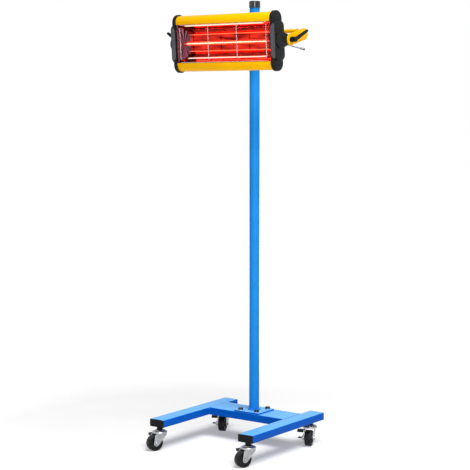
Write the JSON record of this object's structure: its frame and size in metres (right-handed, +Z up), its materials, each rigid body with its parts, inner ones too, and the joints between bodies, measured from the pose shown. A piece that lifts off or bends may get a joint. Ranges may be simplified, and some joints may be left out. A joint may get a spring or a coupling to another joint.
{
  "type": "infrared paint curing lamp",
  "caption": "Infrared paint curing lamp: a tilting heater head on a height-adjustable pole over a wheeled stand.",
  "frame": {"origin": "on the floor, in the middle of the footprint", "axes": "+Z up; the lamp faces -Y and its long axis lies along X, with +X to the right seen from in front of -Y"},
  "size_m": [0.4256, 0.3922, 1.3063],
  "materials": {
    "blue_enamel": "smooth glossy blue powder coat",
    "yellow_enamel": "smooth semi-gloss yellow powder coat",
    "black_moulding": "fine-grained black moulded nylon",
    "gloss_black_cap": "glossy black moulded plastic",
    "zinc_plate": "bright zinc-plated pressed steel",
    "caster_tread": "black moulded rubber and nylon",
    "bolt_steel": "black-oxide and plated steel",
    "bright_reflector": "mirror-bright anodised aluminium",
    "guard_wire": "bright chromed steel wire",
    "quartz_glass": "clear ruby-tinted quartz glass",
    "glowing_filament": "incandescent tungsten",
    "holder_ceramic": "unglazed white ceramic"
  },
  "bodies": {
    "stand": {"leg_left": "blue_enamel", "leg_right": "blue_enamel", "leg_plug_front_left": "black_moulding", "leg_plug_front_right": "black_moulding", "leg_plug_rear_left": "black_moulding", "leg_plug_rear_right": "black_moulding", "cross_channel": "blue_enamel", "foot_plate": "blue_enamel", "foot_bolt_1": "bolt_steel", "foot_bolt_2": "bolt_steel", "foot_bolt_3": "bolt_steel", "foot_bolt_4": "bolt_steel", "pole": "blue_enamel", "pole_cap": "gloss_black_cap", "caster_stem_front_left": "zinc_plate", "caster_stem_rear_left": "zinc_plate", "caster_stem_front_right": "zinc_plate", "caster_stem_rear_right": "zinc_plate"},
    "swivel_front_left": {"caster_fork_front_left": "zinc_plate", "caster_axle_front_left": "zinc_plate"},
    "wheel_front_left": {"caster_wheel_front_left": "caster_tread"},
    "brake_front_left": {"caster_brake_front_left": "zinc_plate"},
    "swivel_rear_left": {"caster_fork_rear_left": "zinc_plate", "caster_axle_rear_left": "zinc_plate"},
    "wheel_rear_left": {"caster_wheel_rear_left": "caster_tread"},
    "brake_rear_left": {"caster_brake_rear_left": "zinc_plate"},
    "swivel_front_right": {"caster_fork_front_right": "zinc_plate", "caster_axle_front_right": "zinc_plate"},
    "wheel_front_right": {"caster_wheel_front_right": "caster_tread"},
    "brake_front_right": {"caster_brake_front_right": "zinc_plate"},
    "swivel_rear_right": {"caster_fork_rear_right": "zinc_plate", "caster_axle_rear_right": "zinc_plate"},
    "wheel_rear_right": {"caster_wheel_rear_right": "caster_tread"},
    "brake_rear_right": {"caster_brake_rear_right": "zinc_plate"},
    "height_clamp": {"height_collar": "black_moulding", "height_clamp_bolt": "bolt_steel"},
    "height_lever": {"height_lever": "bolt_steel"},
    "yoke": {"yoke_sleeve": "yellow_enamel", "yoke_bar": "yellow_enamel", "yoke_arm_left": "yellow_enamel", "yoke_arm_right": "yellow_enamel"},
    "head": {"head_housing": "yellow_enamel", "reflector": "bright_reflector", "reflector_end_left": "bright_reflector", "reflector_end_right": "bright_reflector", "quartz_tube": "quartz_glass", "filament": "glowing_filament", "lamp_holder_left": "holder_ceramic", "lamp_holder_right": "holder_ceramic", "terminal_block": "holder_ceramic", "wire_guard": "guard_wire", "cable_gland": "black_moulding", "end_cap_left": "black_moulding", "end_cap_right": "black_moulding"},
    "clamp_left": {"clamp_lever_left": "black_moulding"},
    "clamp_right": {"clamp_lever_right": "black_moulding"}
  },
  "joints": [
    {"name": "swivel_turn_front_left", "type": "hinge", "parent": "stand", "child": "swivel_front_left", "pos_m": [-0.159, -0.15501, 0.05], "axis": [0, 0, 1], "continuous": true},
    {"name": "wheel_spin_front_left", "type": "hinge", "parent": "swivel_front_left", "child": "wheel_front_left", "pos_m": [-0.16586, -0.17056, 0.0235], "axis": [0.915, -0.4035, 0], "continuous": true},
    {"name": "brake_rock_front_left", "type": "hinge", "parent": "swivel_front_left", "child": "brake_front_left", "pos_m": [-0.16586, -0.17056, 0.0235], "axis": [-0.915, 0.4035, 0], "range_deg": [0, 20]},
    {"name": "swivel_turn_rear_left", "type": "hinge", "parent": "stand", "child": "swivel_rear_left", "pos_m": [-0.159, 0.15899, 0.05], "axis": [0, 0, 1], "continuous": true},
    {"name": "wheel_spin_rear_left", "type": "hinge", "parent": "swivel_rear_left", "child": "wheel_rear_left", "pos_m": [-0.1523, 0.14336, 0.0235], "axis": [0.9191, 0.3939, 0], "continuous": true},
    {"name": "brake_rock_rear_left", "type": "hinge", "parent": "swivel_rear_left", "child": "brake_rear_left", "pos_m": [-0.1523, 0.14336, 0.0235], "axis": [-0.9191, -0.3939, 0], "range_deg": [0, 20]},
    {"name": "swivel_turn_front_right", "type": "hinge", "parent": "stand", "child": "swivel_front_right", "pos_m": [0.159, -0.15501, 0.05], "axis": [0, 0, 1], "continuous": true},
    {"name": "wheel_spin_front_right", "type": "hinge", "parent": "swivel_front_right", "child": "wheel_front_right", "pos_m": [0.15214, -0.17056, 0.0235], "axis": [0.915, -0.4035, 0], "continuous": true},
    {"name": "brake_rock_front_right", "type": "hinge", "parent": "swivel_front_right", "child": "brake_front_right", "pos_m": [0.15214, -0.17056, 0.0235], "axis": [-0.915, 0.4035, 0], "range_deg": [0, 20]},
    {"name": "swivel_turn_rear_right", "type": "hinge", "parent": "stand", "child": "swivel_rear_right", "pos_m": [0.159, 0.15899, 0.05], "axis": [0, 0, 1], "continuous": true},
    {"name": "wheel_spin_rear_right", "type": "hinge", "parent": "swivel_rear_right", "child": "wheel_rear_right", "pos_m": [0.1657, 0.14336, 0.0235], "axis": [0.9191, 0.3939, 0], "continuous": true},
    {"name": "brake_rock_rear_right", "type": "hinge", "parent": "swivel_rear_right", "child": "brake_rear_right", "pos_m": [0.1657, 0.14336, 0.0235], "axis": [-0.9191, -0.3939, 0], "range_deg": [0, 20]},
    {"name": "height_slide", "type": "slide", "parent": "stand", "child": "height_clamp", "axis": [0, 0, 1], "range_m": [-0.95, 0.038]},
    {"name": "height_lever_turn", "type": "hinge", "parent": "height_clamp", "child": "height_lever", "pos_m": [0.02454, 0.11482, 1.198], "axis": [0.5878, -0.809, 0], "range_deg": [0, 50]},
    {"name": "yoke_turn", "type": "hinge", "parent": "height_clamp", "child": "yoke", "pos_m": [0, 0.09699, 1.22], "axis": [0, 0, 1], "range_deg": [-160, 40]},
    {"name": "head_tilt", "type": "hinge", "parent": "yoke", "child": "head", "pos_m": [0, 0.00499, 1.186], "axis": [-1, 0, 0], "range_deg": [-71, 64]},
    {"name": "clamp_lever_turn_left", "type": "hinge", "parent": "head", "child": "clamp_left", "pos_m": [-0.2, 0.00499, 1.186], "axis": [-1, 0, 0], "range_deg": [0, 120]},
    {"name": "clamp_lever_turn_right", "type": "hinge", "parent": "head", "child": "clamp_right", "pos_m": [0.2, 0.00499, 1.186], "axis": [1, 0, 0], "range_deg": [0, 120]}
  ]
}
